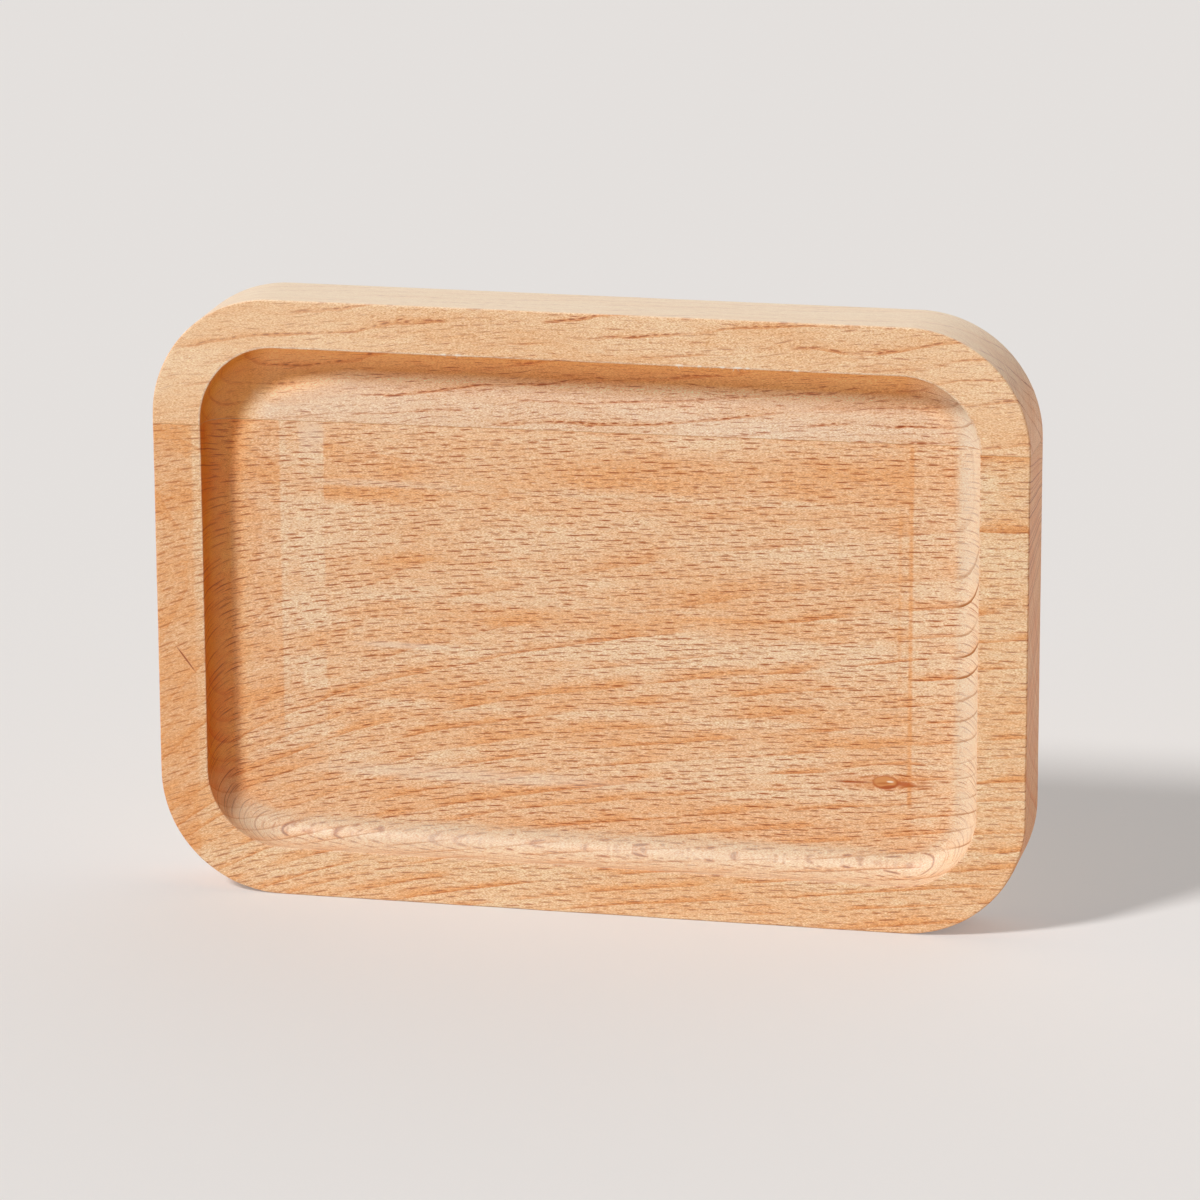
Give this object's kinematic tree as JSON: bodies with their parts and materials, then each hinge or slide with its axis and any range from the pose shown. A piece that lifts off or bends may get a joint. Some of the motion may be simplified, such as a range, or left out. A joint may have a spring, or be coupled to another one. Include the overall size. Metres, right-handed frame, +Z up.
{
  "type": "candle tray",
  "caption": "Rectangular solid beech tray with rounded corners and a shallow round-cornered pocket milled into its face, glued up from edge-joined staves.",
  "frame": {"origin": "middle of the long edge that the tray stands on, halfway through its thickness", "axes": "+X along the tray's length and the grain, to the right as seen from the front; +Y through the thickness, from the pocket's side to the underside, so the pocket faces -Y; +Z up the height, from the edge it stands on. The tray is modelled standing on a long edge, as it is shown; lying in use, its underside (+Y) is down."},
  "size_m": [0.215, 0.02, 0.15],
  "materials": {
    "upper_beech": "pale steamed beech, machined and sanded, lightly oiled, satin",
    "lower_beech": "pinker steamed beech with dense ray flecks, machined and sanded, lightly oiled, satin",
    "wood_glue": "cured clear wood glue, seen as a thin brown line"
  },
  "bodies": {
    "root": {"upper_stave": "upper_beech", "lower_stave": "lower_beech", "glue_line": "wood_glue"}
  },
  "joints": []
}
